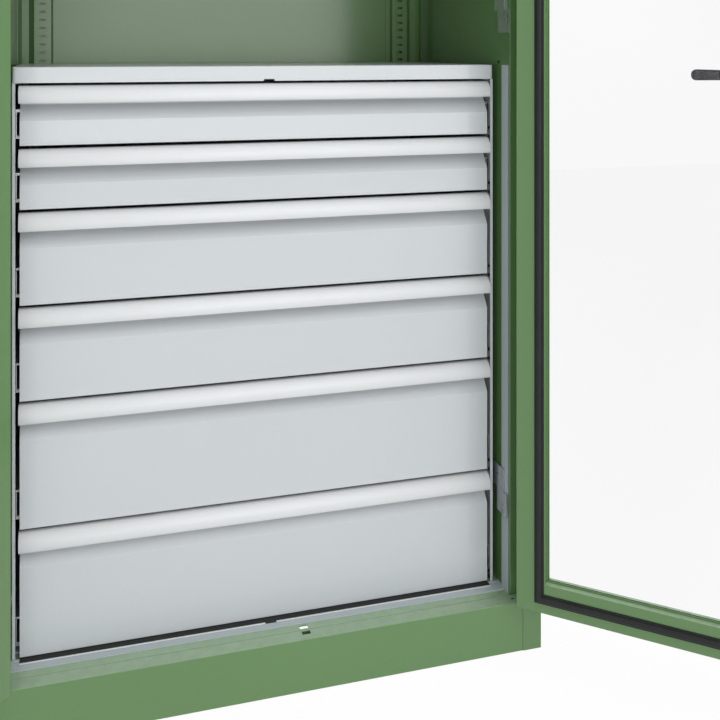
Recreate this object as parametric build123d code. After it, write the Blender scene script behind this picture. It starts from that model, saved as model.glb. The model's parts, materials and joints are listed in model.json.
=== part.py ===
from build123d import *
import os
from math import cos, hypot, radians, sin

# A tall sheet-steel cupboard with a block of six telescopic drawers behind two windowed doors.
# Millimetres, +Z up, +X to the viewer's right, the doors on the -Y side. The origin is on the
# floor, under the middle of the cupboard as it stands with both doors open.
# Inside the functions y is counted from the front face of the posts, towards the back.

# Carcass
WIDTH = 930
DEPTH = 500
HEIGHT = 1950
SHEET = 1.5
SEAM = 0.3
BASE_Z = 2
WALL = 47
POST_FACE = 35
REBATE = 27
LEDGE_Z = 87
LEDGE_HOLE_R = 2.5
LEDGE_HOLE_SET = 1
FLOOR_RISE = -1
TOP_RAIL = 40
HEM = 15

# Levelling screws, whose heads are the feet
FOOT_FLATS = 17
FOOT_HEAD = 8
FOOT_STEM = 10
FOOT_STEM_H = 40
FOOT_PLATE_Z = 20
FOOT_PLATE = 3
FOOT_INSET = 18

# Rear uprights and the slots that carry the shelves
UPRIGHT_W = 76
UPRIGHT_EDGE = 10.5
UPRIGHT_SLANT = 3.5
UPRIGHT_FACE = 31
UPRIGHT_SLOPE = 9.8
UPRIGHT_RISE = 10
UPRIGHT_BEVEL = 7
UPRIGHT_FLANGE = 28
UPRIGHT_CLEAR = 5
SLOT_W = 11
SLOT_H = 4.4
SLOT_PITCH = 16
WALL_SLOT_STEP = 4
SLOT_Y = 70

# Shelves
SHELF_HEIGHTS = (300, 590)
SHELF_SHEET = 1.2
SHELF_EDGE = 28
SHELF_RETURN = 12
SHELF_FRONT = 45
SHELF_GAP = 1
CLIP_W = 9
CLIP_REACH = 14
CLIP_H = 14
CLIP_SHEET = 2
CLIP_PLAY = 0.2
CLIP_SEAT = 0.1

# Drawer block
SETBACK = 75
DRAWERS = (100, 100, 150, 150, 200, 200)
BLOCK_RISE = 2
WALL_GAP = 10
HOUSING_SHEET = 1.5
HOUSING_BACK_GAP = 2.3
HOUSING_SET = 1
HOUSING_LIP = 5.4
HOUSING_LEDGE = 12
COVER_H = 25
COVER_CORNER = 6
COVER_EDGE = 0.8
TRIM_FRONT = 45
TRIM_LIP_Y = 70
TRIM_LIP = 1.1
TRIM_WALL_FRONT = 33
TRIM_WALL_W = 25
NOTCH_W = 18
NOTCH_H = 3

# Drawers
FRONT_GAP = 3
END_GAP = 6.6
FRONT_SHEET = 1.2
FRONT_RETURN = 14
RECESS = 17
RECESS_TOP = 33
FACE_TOP = 58
HANDLE_H = 30
HANDLE_OUT = 10.2
HANDLE_SIDE = 1.8
HANDLE_WALL = 2.4
HANDLE_TOP = 3
HANDLE_ROLL = 20
HANDLE_BELLY = 3.6
HANDLE_BELLY_INSIDE = 5.9
HANDLE_SEAT = 0.1
BOX_SHEET = 1
BOX_BASE = 5
BOX_TOP_GAP = 14
BOX_BACK_GAP = 5.1
BOX_HEM = 5

# Telescopic slides
RAIL_SHEET = 1.2
RAIL_H = 46
RAIL_W = 12.7
RAIL_DEPTH = 11.3
RAIL_BACK_GAP = 4.2
RAIL_RISE = 12
RAIL_PLAY = 0.3
RAIL_SEAT = 0.2
MIDDLE_SET = 3.9

# Doors
DOOR_THICK = 26
DOOR_GAP = 3
DOOR_TOP_GAP = 4
DOOR_BOTTOM_GAP = 11.5
DOOR_SHEET = 1.2
DOOR_ROUND = 1.5
DOOR_OPEN = 137
STILE_HINGE = 50
STILE_LOCK = 60
RAIL_DOOR = 48.5
PANE = 4
PANE_Y = 10
PANE_BITE = 6
PANE_PLAY = 0.2
SEAL_W = 16
SEAL_H = 7
SEAL_INSET = 16
SEAL_INSET_HINGE = 32
SEAL_ROUND = 3

# Hinges
HINGE_HEIGHTS = (259, 1110, 1734)
HINGE_SET = 2.5
KNUCKLE_R = 6
KNUCKLE_H = 38
PIN_R = 3
PIN_PLAY = 0.05
PIN_CAP = 2
KNUCKLE_GAP = 0.3
LEAF_T = 2.4
LEAF_W = 14
PLATE_T = 3
PLATE_SIZE = 40
PLATE_START = 4
PLATE_STEP = 18

# Lock
LOCK_Z = 1000
ROD_X = 50
ROD_Y = 18
ROD_W = 9
ROD_T = 4
ROD_PLAY = 0.3
ROD_TRAVEL = 18
KEEPER_L = 14
KEEPER_W = 9
SPINDLE_R = 5
SPINDLE_PLAY = 0.1
SPINDLE_HOLE = 6
LOCK_PLATE_W = 34
LOCK_PLATE_H = 120
LOCK_PLATE_T = 5
LOCK_PLATE_ROUND = 6
LEVER_L = 100
LEVER_W = 18
LEVER_T = 9
LEVER_NECK = 12
LEVER_END = 8.5
CAM_L = 18
CAM_W = 10
CAM_T = 3

# Places that follow from the sizes above
WALL_X = WIDTH / 2 - WALL
POST_X = WIDTH / 2 - POST_FACE
FLOOR_Z = LEDGE_Z + FLOOR_RISE
TOP_Z = HEIGHT - SHEET - SEAM
REAR_Y = DEPTH - SHEET - SEAM
HOUSING_X = WALL_X - WALL_GAP
FRONT_X = HOUSING_X - HOUSING_LIP - END_GAP
HANDLE_X = FRONT_X + HANDLE_SIDE
BLOCK_Z = FLOOR_Z + BLOCK_RISE
BLOCK_TOP = BLOCK_Z + sum(DRAWERS)
COVER_Z = BLOCK_TOP + COVER_H
HOUSING_END = REAR_Y - UPRIGHT_RISE - SHEET - HOUSING_BACK_GAP
RAIL_X = HOUSING_X - HOUSING_SHEET - RAIL_SEAT
BOX_X = RAIL_X - RAIL_W
BOX_Y = SETBACK + RECESS + FRONT_SHEET + HANDLE_SEAT
BOX_END = HOUSING_END - BOX_BACK_GAP
RAIL_Y = SETBACK + FRONT_RETURN + RAIL_SHEET
RAIL_END = HOUSING_END - RAIL_BACK_GAP
DOOR_X = POST_X - DOOR_GAP
DOOR_Z = LEDGE_Z + DOOR_BOTTOM_GAP
DOOR_TOP = HEIGHT - TOP_RAIL - DOOR_TOP_GAP
HINGE_X = POST_X - DOOR_GAP / 2 - HINGE_SET
HINGE_Y = -KNUCKLE_R - SEAM
SWING = radians(DOOR_OPEN)
# how far the rounded free inner corner of an open door stands in front of the posts
REACH = DOOR_ROUND - HINGE_Y
REACH += (HINGE_X - DOOR_GAP / 2 - DOOR_ROUND) * sin(SWING)
REACH -= (DOOR_THICK - DOOR_ROUND - HINGE_Y) * cos(SWING)
FRONT_Y = (REACH - DEPTH) / 2


def block(x0, x1, y0, y1, z0, z1):
    """A box between two opposite corners."""
    size = Box(x1 - x0, y1 - y0, z1 - z0)
    return Pos((x0 + x1) / 2, (y0 + y1) / 2, (z0 + z1) / 2) * size


def turned_cylinder(radius, centre, axis, start, end):
    """A cylinder along an axis ("x", "y" or "z") through centre, from start to end."""
    body = Cylinder(radius, end - start)
    middle = (start + end) / 2
    if axis == "z":
        return Pos(centre[0], centre[1], middle) * body
    if axis == "y":
        return Pos(centre[0], middle, centre[1]) * Rot(90, 0, 0) * body
    return Pos(middle, centre[0], centre[1]) * Rot(0, 90, 0) * body


def folded(points, thickness=SHEET):
    """The section of a tightly folded sheet. The sheet lies to the left of the path."""
    points = [Vector(*p) for p in points]
    heads = [(b - a).normalized() for a, b in zip(points, points[1:])]
    sides = [Vector(-d.Y, d.X) for d in heads]
    offset = [points[0] + sides[0] * thickness]
    outside = []
    for spot, before, after in zip(points[1:], sides, sides[1:]):
        other = spot + (before + after) * (thickness / (1 + before.dot(after)))
        offset.append(other)
        turn = before.X * after.Y - before.Y * after.X
        outside.append(spot if turn > 0 else other)
    offset.append(points[-1] + sides[-1] * thickness)
    ring = [(p.X, p.Y) for p in points + offset[::-1]]
    section = make_face(Polyline(*ring, close=True))
    corners = [
        v
        for v in section.vertices()
        if min(hypot(v.X - s.X, v.Y - s.Y) for s in outside) < 0.001
    ]
    return fillet(corners, thickness)


def along_x(section, x0, x1):
    """A section drawn in (y, z), run from x0 to x1."""
    return Pos(x0, 0, 0) * extrude(Plane.YZ * section, x1 - x0)


def along_z(section, z0, z1):
    """A section drawn in (x, y), run from z0 to z1."""
    return Pos(0, 0, z0) * extrude(section, z1 - z0)


def prism(section, height):
    """A section drawn in (x, y), standing on z = 0."""
    return along_z(section, 0, height)


def left_of(part):
    """The same piece on the left half of the cupboard."""
    return mirror(part, about=Plane.YZ)


def group(parts):
    """Separate solids kept together in one node."""
    return Compound([p.solid() for p in parts])


def slot_heights(step):
    """Heights of the shelf slots above the drawer block, or of every second, third and so on."""
    start, end = COVER_Z + UPRIGHT_CLEAR, HEIGHT - TOP_RAIL - UPRIGHT_CLEAR
    pitch = SLOT_PITCH * step
    return [start + n * pitch for n in range(int((end - start) / pitch) + 1)]


def shelf_height(rise):
    """The underside of a shelf's folded edges: the top of the clip in the nearest slot."""
    slots = slot_heights(WALL_SLOT_STEP)
    return min(slots, key=lambda z: abs(z - COVER_Z - rise)) + CLIP_H / 2


# Carcass

def side_panel():
    """Right side: outer skin, front post, door rebate and inner wall, folded from one sheet."""
    x, wall, post = WIDTH / 2, WALL_X, POST_X
    path = [
        (x - HEM, REAR_Y),
        (x, REAR_Y),
        (x, 0),
        (post, 0),
        (post, REBATE),
        (wall, REBATE),
        (wall, REAR_Y),
        (wall + HEM, REAR_Y),
    ]
    # the hollow side of the sheet is on the right of this path, so it is run backwards
    panel = along_z(folded(path[::-1]), BASE_Z, TOP_Z)
    cuts = [
        block(wall - 1, wall + SHEET + 1, SLOT_Y, SLOT_Y + SLOT_W, z - SLOT_H / 2, z + SLOT_H / 2)
        for z in slot_heights(WALL_SLOT_STEP)
    ]
    return panel - cuts


def back_panel():
    """Flat sheet behind the folded edges of the side panels."""
    x = WIDTH / 2 - SHEET - SEAM
    return block(-x, x, REAR_Y + SEAM, DEPTH, BASE_Z, TOP_Z)


def top_panel():
    """Top with its front rail and the upper door ledge in one folded sheet."""
    ledge = HEIGHT - TOP_RAIL
    rail_x = POST_X - 2 * SEAM
    rail = folded([(REBATE, HEIGHT), (0, HEIGHT), (0, ledge), (REBATE - 2 * SEAM, ledge)])
    front = along_x(rail, -rail_x, rail_x)
    roof = block(-WIDTH / 2, WIDTH / 2, 0, DEPTH, HEIGHT - SHEET, HEIGHT)
    return front + roof - keeper_slot(ROD_Y, ledge)


def keeper_slot(y, z):
    """A slot for a lock rod through a sheet at the height z."""
    x0, x1 = ROD_X - KEEPER_L / 2, ROD_X + KEEPER_L / 2
    return block(x0, x1, y - KEEPER_W / 2, y + KEEPER_W / 2, z - 2 * SHEET, z + 2 * SHEET)


def plinth_panel():
    """Plinth front and door ledge in one folded sheet between the posts."""
    x = POST_X - 2 * SEAM
    end = REBATE - 2 * SEAM
    path = [(end, LEDGE_Z - HEM), (end, LEDGE_Z), (0, LEDGE_Z), (0, BASE_Z), (HEM, BASE_Z)]
    panel = along_x(folded(path), -x, x)
    hole_x = WALL_X - LEDGE_HOLE_SET
    for side in (-1, 1):
        panel -= turned_cylinder(LEDGE_HOLE_R, (side * hole_x, REBATE / 2), "z", LEDGE_Z - 2 * SHEET, LEDGE_Z + SHEET)
    return panel - keeper_slot(ROD_Y, LEDGE_Z)


def floor_panel():
    """Floor of the cupboard, folded down at the front and the back."""
    x = WALL_X - SEAM
    start, end = REBATE + SEAM, REAR_Y - SEAM
    path = [(end, FLOOR_Z - HEM), (end, FLOOR_Z), (start, FLOOR_Z), (start, FLOOR_Z - HEM)]
    floor = along_x(folded(path), -x, x)
    return floor - keeper_slot(REBATE + KEEPER_W, FLOOR_Z)


def levelling_feet():
    """Hexagon screws in their threaded plates, one at the front and one at the back of each side."""
    feet = []
    x = WIDTH / 2 - POST_FACE / 2
    half = POST_FACE / 2 - SHEET - SEAM
    for y in (FOOT_INSET, REAR_Y - FOOT_INSET):
        for side in (-1, 1):
            head = prism(RegularPolygon(FOOT_FLATS / 2, 6, major_radius=False), FOOT_HEAD)
            stem = prism(RegularPolygon(FOOT_STEM / 2, 6), FOOT_STEM_H)
            screw = Pos(side * x, y, 0) * (head + stem)
            plate = block(
                side * x - half, side * x + half,
                y - half, y + half,
                FOOT_PLATE_Z, FOOT_PLATE_Z + FOOT_PLATE,
            )
            feet.append(screw + plate)
    return group(feet)


def rear_upright():
    """Right rear corner strip: a perforated hat, then a flange along the side wall."""
    back = REAR_Y - SEAM
    wall = WALL_X - SEAM
    start = wall - UPRIGHT_W
    raised = back - UPRIGHT_RISE
    hat = start + UPRIGHT_EDGE + UPRIGHT_SLANT
    path = [
        (wall, back - UPRIGHT_FLANGE),
        (wall, back - UPRIGHT_BEVEL),
        (wall - UPRIGHT_BEVEL, back),
        (hat + UPRIGHT_FACE + UPRIGHT_SLOPE, back),
        (hat + UPRIGHT_FACE, raised),
        (hat, raised),
        (start + UPRIGHT_EDGE, back),
        (start, back),
    ]
    strip = along_z(folded(path), FLOOR_Z + SEAM, HEIGHT - TOP_RAIL)
    middle = hat + UPRIGHT_FACE / 2
    face = raised - SHEET
    cuts = [
        block(
            middle - SLOT_W / 2, middle + SLOT_W / 2,
            face - 1, raised + 1,
            z - SLOT_H / 2, z + SLOT_H / 2,
        )
        for z in slot_heights(1)
    ]
    return strip - cuts, middle, face


def shelf(rise):
    """A shelf with its front and rear edges folded down and in, on four clips."""
    low = shelf_height(rise)
    z = low + SHELF_EDGE
    x = WALL_X - SEAM - SHEET - SHELF_GAP
    start = REBATE + SHELF_FRONT
    end = REAR_Y - UPRIGHT_RISE - SHEET - SHELF_GAP
    path = [
        (start + SHELF_RETURN, low),
        (start, low),
        (start, z),
        (end, z),
        (end, low),
        (end - SHELF_RETURN, low),
    ]
    return along_x(folded(path[::-1], SHELF_SHEET), -x, x)


def shelf_clip(top):
    """A hooked clip at the origin of x and y: its back plate at x = 0, its tongue towards -x."""
    half = CLIP_W / 2
    back = -CLIP_SEAT
    hook = SLOT_H / 2 - CLIP_PLAY
    slot = top - CLIP_H / 2
    tongue = block(-CLIP_REACH, back, -half, half, top - CLIP_SHEET, top)
    plate = block(-CLIP_SHEET, back, -half, half, top - CLIP_H, top)
    return tongue + plate + block(-CLIP_SHEET, 2 * SHEET, -half, half, slot - hook, slot + hook)


def shelf_clips():
    """Hooked clips, four to a shelf, in the slots of the uprights and of the side walls."""
    middle, face = rear_upright()[1:]
    clips = []
    for rise in SHELF_HEIGHTS:
        clip = shelf_clip(shelf_height(rise))
        rear = Pos(middle, face, 0) * Rot(0, 0, 90) * clip
        front = Pos(WALL_X, SLOT_Y + SLOT_W / 2, 0) * clip
        for placed in (rear, front):
            clips += [placed, left_of(placed)]
    return group(clips)


# Drawer block

def housing_side():
    """Right side of the drawer housing: a tray with a front lip and ledges at top and bottom."""
    x, inner = HOUSING_X, HOUSING_X - HOUSING_LIP
    front, end = SETBACK + HOUSING_SET, HOUSING_END
    low, high = FLOOR_Z + SEAM, BLOCK_TOP - SEAM
    path = [(inner, front), (x, front), (x, end), (inner, end)]
    web = along_z(folded(path, HOUSING_SHEET), low, high)
    ledges = [
        block(x - HOUSING_LEDGE, x - 1, BOX_Y + 1, end - HOUSING_SHEET, z, z + HOUSING_SHEET)
        for z in (low, high - HOUSING_SHEET)
    ]
    return web + ledges


def block_cover():
    """Cover of the drawer block, folded down on all four sides."""
    x = HOUSING_X
    start, end = SETBACK, HOUSING_END
    outer = block(-x, x, start, end, BLOCK_TOP, COVER_Z)
    outer = fillet(outer.edges().filter_by(Axis.Z).group_by(Axis.Y)[0], COVER_CORNER)
    outer = chamfer(outer.faces().sort_by(Axis.Z)[-1].edges(), COVER_EDGE)
    low = BLOCK_TOP - 1
    inner = block(-x + SHEET, x - SHEET, start + SHEET, end - SHEET, low, COVER_Z - SHEET)
    half = NOTCH_W / 2
    notch = block(-half, half, start - 1, start + SHEET + 1, low, BLOCK_TOP + NOTCH_H)
    return outer - inner - notch


def front_trim():
    """Light strip round the front of the block, along the floor and up both walls."""
    x = WALL_X - SEAM / 2
    low = FLOOR_Z + SEAM / 2
    base = block(-x, x, TRIM_FRONT, SETBACK + HOUSING_SET - SEAM, low, low + SHEET)
    half = NOTCH_W / 2
    end = TRIM_LIP_Y + SHEET
    lip = block(-HOUSING_X, HOUSING_X, TRIM_LIP_Y, end, low, low + SHEET + TRIM_LIP)
    lip -= block(-half, half, TRIM_LIP_Y - 1, end + 1, low + SHEET, low + 2 * SHEET)
    trim = base + lip
    wall_end = TRIM_WALL_FRONT + TRIM_WALL_W
    for side in (-1, 1):
        ends = sorted((side * x, side * (x - SHEET)))
        trim += block(*ends, TRIM_WALL_FRONT, wall_end, low, COVER_Z)
    return trim


def channel(x0, x1, height, middle_z, y0, y1, open_to_left):
    """A C section slide rail between x0 and x1, its web on the side that isn't open."""
    low, high = middle_z - height / 2, middle_z + height / 2
    web = block(x1 - RAIL_SHEET, x1, y0, y1, low, high)
    if not open_to_left:
        web = block(x0, x0 + RAIL_SHEET, y0, y1, low, high)
    lips = [
        block(x0, x1, y0, y1, low, low + RAIL_SHEET),
        block(x0, x1, y0, y1, high - RAIL_SHEET, high),
    ]
    return web + lips


def drawer_floors():
    """The height at which each drawer's module starts, the top drawer first."""
    floors = []
    z = BLOCK_TOP
    for height in DRAWERS:
        z -= height
        floors.append(z)
    return floors


def rail_middle(z):
    """Height of the middle of a drawer's slides."""
    return z + RAIL_RISE + RAIL_H / 2


def fixed_rails():
    """The outer members of the slides, a pair for each drawer."""
    rails = []
    for z in drawer_floors():
        rail = channel(
            RAIL_X - RAIL_DEPTH, RAIL_X, RAIL_H, rail_middle(z),
            RAIL_Y, RAIL_END, True,
        )
        rails += [rail, left_of(rail)]
    return group(rails)


def middle_rails(z):
    """The pair of middle members of one drawer's slides."""
    height = RAIL_H - 2 * RAIL_SHEET - 2 * RAIL_PLAY
    rail = channel(
        RAIL_X - RAIL_DEPTH, RAIL_X - MIDDLE_SET, height, rail_middle(z),
        RAIL_Y, RAIL_END, True,
    )
    return group([rail, left_of(rail)])


def inner_rails(z):
    """The pair of inner members, which the drawer box carries."""
    height = RAIL_H - 4 * RAIL_SHEET - 4 * RAIL_PLAY
    start = RAIL_X - RAIL_W
    rail = channel(
        start, RAIL_X - MIDDLE_SET - RAIL_SHEET - RAIL_PLAY, height, rail_middle(z),
        BOX_Y, RAIL_END, False,
    )
    return group([rail, left_of(rail)])


def drawer_box(z, height):
    """Open box with hemmed sides and slots for dividers."""
    low, high = z + BOX_BASE, z + height - BOX_TOP_GAP
    end = BOX_END
    outer = block(-BOX_X, BOX_X, BOX_Y, end, low, high)
    inside = (-BOX_X + BOX_SHEET, BOX_X - BOX_SHEET, BOX_Y + BOX_SHEET, end - BOX_SHEET)
    under_hem = block(*inside, low + BOX_SHEET, high - BOX_SHEET)
    mouth = block(
        -BOX_X + BOX_HEM, BOX_X - BOX_HEM, BOX_Y + BOX_HEM, end - BOX_HEM, low + BOX_SHEET, high + 1
    )
    return outer - under_hem - mouth


def drawer_front(z, height):
    """Front panel: bottom return, flat face, slanted band and the wall of the grip recess."""
    low, top = z + FRONT_GAP / 2, z + height - FRONT_GAP / 2
    face, deep = SETBACK, SETBACK + RECESS
    path = [
        (face + FRONT_RETURN, low),
        (face, low),
        (face, top - FACE_TOP),
        (deep, top - RECESS_TOP),
        (deep, top - HANDLE_TOP - HANDLE_SEAT),
    ]
    panel = along_x(folded(path[::-1], FRONT_SHEET), -FRONT_X, FRONT_X)
    half = FRONT_SHEET / 2
    for side in (-1, 1):
        ends = sorted((side * FRONT_X, side * (FRONT_X - FRONT_SHEET)))
        panel += block(*ends, face + half, face + FRONT_RETURN, low + half, top - FACE_TOP)
    return panel


def handle_section():
    """Section of the handle in (y, z): a flat top that rolls forward and down to a round lip."""
    front = SETBACK - HANDLE_OUT
    back = SETBACK + RECESS + FRONT_SHEET
    lip_z = -HANDLE_H
    wall = HANDLE_WALL
    roll = (front + HANDLE_ROLL, 0)
    under = (front + HANDLE_ROLL + wall / 2, -HANDLE_TOP)
    outside, inside = (front, lip_z), (front + wall, lip_z)
    belly = -HANDLE_H / 3
    edges = [
        Line((back, 0), roll),
        ThreePointArc(roll, (front + HANDLE_BELLY, belly), outside),
        Line(outside, inside),
        ThreePointArc(inside, (front + HANDLE_BELLY_INSIDE, belly - wall / 2), under),
        Line(under, (back, -HANDLE_TOP)),
        Line((back, -HANDLE_TOP), (back, 0)),
    ]
    return make_face(edges)


def drawer_handle(z, height):
    """Full-width rounded grip strip along the top of a drawer's front."""
    top = z + height - FRONT_GAP / 2
    return Pos(0, 0, top) * along_x(handle_section(), -HANDLE_X, HANDLE_X)


# Doors, drawn closed on the right side

def swung(part):
    """A closed right door piece in the place where the open door holds it."""
    return Pos(HINGE_X, HINGE_Y, 0) * Rot(0, 0, DOOR_OPEN) * Pos(-HINGE_X, -HINGE_Y, 0) * part


def door_frame(with_lock):
    """Double-skinned door frame, hollow, with a slot round the window for the pane."""
    x0, x1 = DOOR_GAP / 2, DOOR_X
    y1 = DOOR_THICK
    z0, z1 = DOOR_Z, DOOR_TOP
    t = DOOR_SHEET
    wx0, wx1 = x0 + STILE_LOCK, x1 - STILE_HINGE
    wz0, wz1 = z0 + RAIL_DOOR, z1 - RAIL_DOOR
    outer = block(x0, x1, 0, y1, z0, z1)
    outer = fillet(outer.edges().filter_by(Axis.Z), DOOR_ROUND)
    window = block(wx0, wx1, -1, y1 + 1, wz0, wz1)
    hollow = block(x0 + t, x1 - t, t, y1 - t, z0 + t, z1 - t) - block(
        wx0 - t, wx1 + t, 0, y1, wz0 - t, wz1 + t
    )
    bite = PANE_BITE + 1
    groove = block(
        wx0 - bite, wx1 + bite,
        PANE_Y, PANE_Y + PANE + 2 * PANE_PLAY,
        wz0 - bite, wz1 + bite,
    )
    frame = outer - window - hollow - groove
    if with_lock:
        frame -= flat_rod(ROD_PLAY, z0 - 1, z1 + 1)
        frame -= turned_cylinder(SPINDLE_HOLE, (ROD_X, LOCK_Z), "y", -1, t + 1)
    return frame


def door_pane():
    """Clear pane, held in the groove of the frame."""
    x0, x1 = DOOR_GAP / 2 + STILE_LOCK - PANE_BITE, DOOR_X - STILE_HINGE + PANE_BITE
    z0, z1 = DOOR_Z + RAIL_DOOR - PANE_BITE, DOOR_TOP - RAIL_DOOR + PANE_BITE
    y0 = PANE_Y + PANE_PLAY
    return block(x0, x1, y0, y0 + PANE, z0, z1)


def door_seal():
    """Rounded rubber seal round the inner face of the door."""
    x0, x1 = DOOR_GAP / 2 + SEAL_INSET, DOOR_X - SEAL_INSET_HINGE
    z0, z1 = DOOR_Z + SEAL_INSET, DOOR_TOP - SEAL_INSET
    y0, y1 = DOOR_THICK, DOOR_THICK + SEAL_H
    ring = block(x0, x1, y0, y1, z0, z1) - block(
        x0 + SEAL_W, x1 - SEAL_W, y0 - 1, y1 + 1, z0 + SEAL_W, z1 - SEAL_W
    )
    return fillet(ring.faces().sort_by(Axis.Y)[-1].edges(), SEAL_ROUND)


def hinge_fixed():
    """Lower hinge halves on the posts with their pins, and the plates that back them."""
    at = (HINGE_X, HINGE_Y)
    pieces = []
    for z in HINGE_HEIGHTS:
        low, high = z - KNUCKLE_H, z - KNUCKLE_GAP
        knuckle = turned_cylinder(KNUCKLE_R, at, "z", low, high)
        pin = turned_cylinder(PIN_R, at, "z", low, z + KNUCKLE_H - 2 * PIN_CAP)
        leaf = block(HINGE_X, HINGE_X + LEAF_W, -SEAM - LEAF_T, -SEAM, low, high)
        pieces.append(knuckle + leaf + pin)
        # behind the block's trim, or straight on the wall above it
        x = WALL_X - SEAM - (SHEET if z < COVER_Z else 0)
        near = REBATE + PLATE_START
        far = REBATE + PLATE_STEP
        lower = block(x - PLATE_T, x, near, near + PLATE_SIZE, z - PLATE_SIZE, z)
        upper = block(x - PLATE_T, x, far, far + PLATE_SIZE, z, z + PLATE_SIZE)
        pieces.append(lower + upper)
    return group(pieces)


def hinge_leaf():
    """Upper hinge halves on the door, bored for the pins."""
    at = (HINGE_X, HINGE_Y)
    pieces = []
    for z in HINGE_HEIGHTS:
        low, high = z + KNUCKLE_GAP, z + KNUCKLE_H
        knuckle = turned_cylinder(KNUCKLE_R, at, "z", low, high)
        leaf = block(HINGE_X - LEAF_W, HINGE_X, -SEAM - LEAF_T, -SEAM, low, high)
        bore = turned_cylinder(PIN_R + PIN_PLAY, at, "z", z - 1, high - PIN_CAP)
        pieces.append(knuckle + leaf - bore)
    return group(pieces)


def lock_plate():
    """Plate behind the swivel handle, on the outside of the right door."""
    half_w, half_h = LOCK_PLATE_W / 2, LOCK_PLATE_H / 2
    plate = block(
        ROD_X - half_w, ROD_X + half_w, -LOCK_PLATE_T - 0.1, -0.1, LOCK_Z - half_h, LOCK_Z + half_h
    )
    plate = fillet(plate.edges().filter_by(Axis.Y), LOCK_PLATE_ROUND)
    return plate - turned_cylinder(SPINDLE_R + SPINDLE_PLAY, (ROD_X, LOCK_Z), "y", -2 * LOCK_PLATE_T, 1)


def lock_handle():
    """Swivel handle, level while the lock is open, with its spindle and cam."""
    base = -LOCK_PLATE_T - 0.4
    out = base - LEVER_NECK
    at = (ROD_X, LOCK_Z)
    half = LEVER_W / 2
    hub = turned_cylinder(half, at, "y", out - LEVER_T, base)
    lever = block(ROD_X, ROD_X + LEVER_L, out - LEVER_T, out, LOCK_Z - half, LOCK_Z + half)
    lever = fillet(lever.edges().filter_by(Axis.Y).group_by(Axis.X)[-1], LEVER_END)
    near = DOOR_SHEET + 2
    spindle = turned_cylinder(SPINDLE_R, at, "y", base - 1, near)
    cam = block(
        ROD_X - CAM_W / 2, ROD_X + CAM_W / 2, near, near + CAM_T, LOCK_Z - CAM_L / 2, LOCK_Z + CAM_L / 2
    )
    return hub + lever + spindle + cam


def flat_rod(play, z0, z1):
    """A flat lock rod in the right stile, or its clearance with some play all round."""
    half_w, half_t = ROD_W / 2 + play, ROD_T / 2 + play
    return block(ROD_X - half_w, ROD_X + half_w, ROD_Y - half_t, ROD_Y + half_t, z0, z1)


def lock_rod(upward):
    """Lock rod in the hollow stile, drawn back while the lock is open."""
    near = CAM_L / 2 + ROD_TRAVEL
    if upward:
        return flat_rod(0, LOCK_Z + near, DOOR_TOP - SEAM)
    return flat_rod(0, DOOR_Z + SEAM, LOCK_Z - near)


# Assembly

def pieces():
    """Every node of the cupboard and its solid, still counted from the front of the posts."""
    upright = rear_upright()[0]
    found = {
        "side_panel_right": side_panel(),
        "back_panel": back_panel(),
        "top_panel": top_panel(),
        "floor_panel": floor_panel(),
        "plinth_panel": plinth_panel(),
        "levelling_feet": levelling_feet(),
        "rear_uprights": group([upright, left_of(upright)]),
        "shelf_lower": shelf(SHELF_HEIGHTS[0]),
        "shelf_upper": shelf(SHELF_HEIGHTS[1]),
        "shelf_clips": shelf_clips(),
        "housing_side_right": housing_side(),
        "block_cover": block_cover(),
        "front_trim": front_trim(),
        "fixed_rails": fixed_rails(),
        "hinge_right_fixed": hinge_fixed(),
        "hinge_right_leaf": swung(hinge_leaf()),
        "door_right_frame": swung(door_frame(True)),
        "door_right_pane": swung(door_pane()),
        "door_right_seal": swung(door_seal()),
        "lock_plate": swung(lock_plate()),
        "lock_handle": swung(lock_handle()),
        "lock_rod_upper": swung(lock_rod(True)),
        "lock_rod_lower": swung(lock_rod(False)),
        "side_panel_left": left_of(side_panel()),
        "housing_side_left": left_of(housing_side()),
        "hinge_left_fixed": left_of(hinge_fixed()),
        "hinge_left_leaf": left_of(swung(hinge_leaf())),
        "door_left_frame": left_of(swung(door_frame(False))),
        "door_left_pane": left_of(swung(door_pane())),
        "door_left_seal": left_of(swung(door_seal())),
    }
    for number, (z, height) in enumerate(zip(drawer_floors(), DRAWERS), 1):
        found[f"drawer_{number}_box"] = drawer_box(z, height)
        found[f"drawer_{number}_front"] = drawer_front(z, height)
        found[f"drawer_{number}_handle"] = drawer_handle(z, height)
        found[f"drawer_{number}_inner_rails"] = inner_rails(z)
        found[f"drawer_{number}_middle_rails"] = middle_rails(z)
    return found


def main():
    os.makedirs("parts", exist_ok=True)
    for name, piece in pieces().items():
        export_step(Pos(0, FRONT_Y, 0) * piece, f"parts/{name}.step")


if __name__ == "__main__":
    main()
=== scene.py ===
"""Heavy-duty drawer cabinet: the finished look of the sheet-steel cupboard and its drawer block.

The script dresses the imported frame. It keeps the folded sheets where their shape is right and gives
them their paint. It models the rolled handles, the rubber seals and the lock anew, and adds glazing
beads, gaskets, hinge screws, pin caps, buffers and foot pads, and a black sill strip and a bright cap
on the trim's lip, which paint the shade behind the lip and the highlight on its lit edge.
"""
import json
from math import radians

import bmesh
import bpy
from bpy.props import FloatProperty, FloatVectorProperty, IntProperty, PointerProperty
from mathutils import Matrix, Vector

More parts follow.
